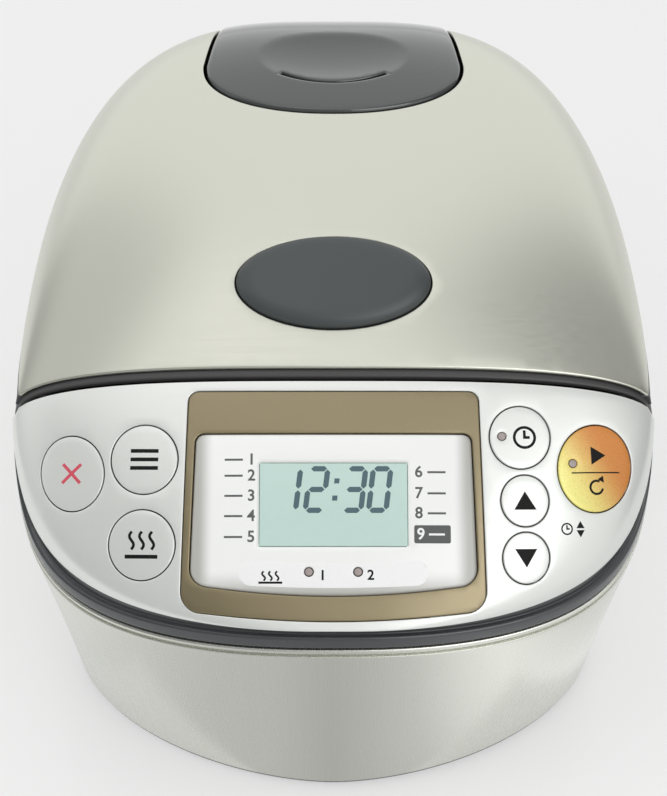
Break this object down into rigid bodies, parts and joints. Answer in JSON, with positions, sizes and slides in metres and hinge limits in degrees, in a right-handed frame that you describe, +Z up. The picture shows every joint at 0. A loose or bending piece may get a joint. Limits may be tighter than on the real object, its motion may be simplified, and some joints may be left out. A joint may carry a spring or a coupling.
{
  "type": "electric rice cooker",
  "caption": "Electronic rice cooker with a hinged domed steel lid, sloping key panel with display, lift-off steam vent and removable inner pot.",
  "frame": {"origin": "on the table, under the middle of the overall width and length", "axes": "+X to the cooker's right as seen from the front (the panel side), -Y the front, +Y the hinge side, +Z up"},
  "size_m": [0.257, 0.341, 0.2146],
  "materials": {
    "stainless": "brushed stainless steel with a soft sheen",
    "dark_grey_abs": "dark grey satin ABS",
    "grey_abs": "mid-grey satin ABS",
    "pearl_abs": "silver-white pearl lacquer",
    "bronze_film": "bronze metallic film under clear coat",
    "white_acrylic": "white printed acrylic",
    "lcd_glass": "pale reflective LCD under its window",
    "orange_key": "orange to yellow printed key cap",
    "lamp_lens": "unlit lamp lens",
    "aluminium": "plain drawn aluminium",
    "cast_aluminium": "cast aluminium",
    "pot_coating": "dark non-stick coating on aluminium",
    "silicone": "translucent grey silicone",
    "foot_rubber": "black rubber",
    "spring_steel": "bright spring steel",
    "transformer_steel": "laminated core steel",
    "board_laminate": "green board laminate",
    "black_nylon": "black nylon",
    "heater_band": "mica band heater in a steel jacket"
  },
  "bodies": {
    "cooker": {"outer_body": "stainless", "base_cover": "grey_abs", "foot_front_left": "foot_rubber", "foot_front_right": "foot_rubber", "foot_rear_left": "foot_rubber", "foot_rear_right": "foot_rubber", "upper_frame": "dark_grey_abs", "hinge_shaft": "spring_steel", "hinge_spring_left": "spring_steel", "hinge_spring_right": "spring_steel", "hinge_cover": "dark_grey_abs", "control_panel": "pearl_abs", "display_frame": "bronze_film", "display_window": "white_acrylic", "lcd_module": "lcd_glass", "control_board": "board_laminate", "keep_warm_lens_left": "lamp_lens", "keep_warm_lens_right": "lamp_lens", "inner_pot": "pot_coating", "inner_case": "aluminium", "side_heater": "heater_band", "heater_plate": "cast_aluminium", "sensor_spring": "spring_steel", "power_board": "board_laminate", "transformer": "transformer_steel", "power_inlet": "black_nylon"},
    "lid": {"lid_cover": "stainless", "lid_frame": "dark_grey_abs", "latch_pin": "spring_steel", "latch_spring": "spring_steel", "lid_heat_plate": "aluminium", "inner_lid": "aluminium", "inner_lid_gasket": "silicone", "vent_gasket": "silicone"},
    "button": {"lid_button": "grey_abs"},
    "latch": {"latch_hook": "grey_abs"},
    "vent": {"steam_vent_cap": "grey_abs", "steam_vent_case": "grey_abs"},
    "sensor": {"center_sensor": "aluminium"},
    "cancel_button": {"cancel_key": "pearl_abs"},
    "menu_button": {"menu_key": "pearl_abs"},
    "keep_warm_button": {"keep_warm_key": "pearl_abs"},
    "timer_button": {"timer_key": "pearl_abs", "timer_lens": "lamp_lens"},
    "up_button": {"up_key": "pearl_abs"},
    "down_button": {"down_key": "pearl_abs"},
    "start_button": {"start_key": "orange_key", "start_lens": "lamp_lens"}
  },
  "joints": [
    {"name": "lid_hinge", "type": "hinge", "parent": "cooker", "child": "lid", "pos_m": [0, 0.1505, 0.1475], "axis": [-1, 0, 0], "range_deg": [0, 90]},
    {"name": "lid_button_press", "type": "slide", "parent": "lid", "child": "button", "axis": [0, 0.4081, -0.9129], "range_m": [0, 0.0035], "stiffness_N_per_m": 600, "springref_m": -0.002},
    {"name": "latch_turn", "type": "hinge", "parent": "lid", "child": "latch", "pos_m": [0, -0.064, 0.165], "axis": [-1, 0, 0], "range_deg": [0, 13.1], "deforming": ["latch_spring"]},
    {"name": "vent_lift", "type": "slide", "parent": "lid", "child": "vent", "axis": [0, 0, 1], "range_m": [0, 0.05]},
    {"name": "sensor_press", "type": "slide", "parent": "cooker", "child": "sensor", "axis": [0, 0, -1], "range_m": [0, 0.003], "stiffness_N_per_m": 400, "springref_m": -0.003, "deforming": ["sensor_spring"]},
    {"name": "cancel_key_press", "type": "slide", "parent": "cooker", "child": "cancel_button", "axis": [0.2546, 0.5891, -0.7669], "range_m": [0, 0.0005], "stiffness_N_per_m": 3000, "springref_m": -0.0003},
    {"name": "menu_key_press", "type": "slide", "parent": "cooker", "child": "menu_button", "axis": [0.0887, 0.5509, -0.8299], "range_m": [0, 0.0005], "stiffness_N_per_m": 3000, "springref_m": -0.0003},
    {"name": "keep_warm_key_press", "type": "slide", "parent": "cooker", "child": "keep_warm_button", "axis": [0.1343, 0.6023, -0.7869], "range_m": [0, 0.0005], "stiffness_N_per_m": 3000, "springref_m": -0.0003},
    {"name": "timer_key_press", "type": "slide", "parent": "cooker", "child": "timer_button", "axis": [-0.0773, 0.5383, -0.8392], "range_m": [0, 0.0005], "stiffness_N_per_m": 3000, "springref_m": -0.0003},
    {"name": "up_key_press", "type": "slide", "parent": "cooker", "child": "up_button", "axis": [-0.1087, 0.5728, -0.8125], "range_m": [0, 0.0005], "stiffness_N_per_m": 3000, "springref_m": -0.0003},
    {"name": "down_key_press", "type": "slide", "parent": "cooker", "child": "down_button", "axis": [-0.149, 0.6167, -0.773], "range_m": [0, 0.0005], "stiffness_N_per_m": 3000, "springref_m": -0.0003},
    {"name": "start_key_press", "type": "slide", "parent": "cooker", "child": "start_button", "axis": [-0.2485, 0.5866, -0.7708], "range_m": [0, 0.0005], "stiffness_N_per_m": 3000, "springref_m": -0.0003}
  ],
  "couplings": [
    {"joint": "latch_turn", "follows": "lid_button_press", "rad_per_m": 64}
  ]
}
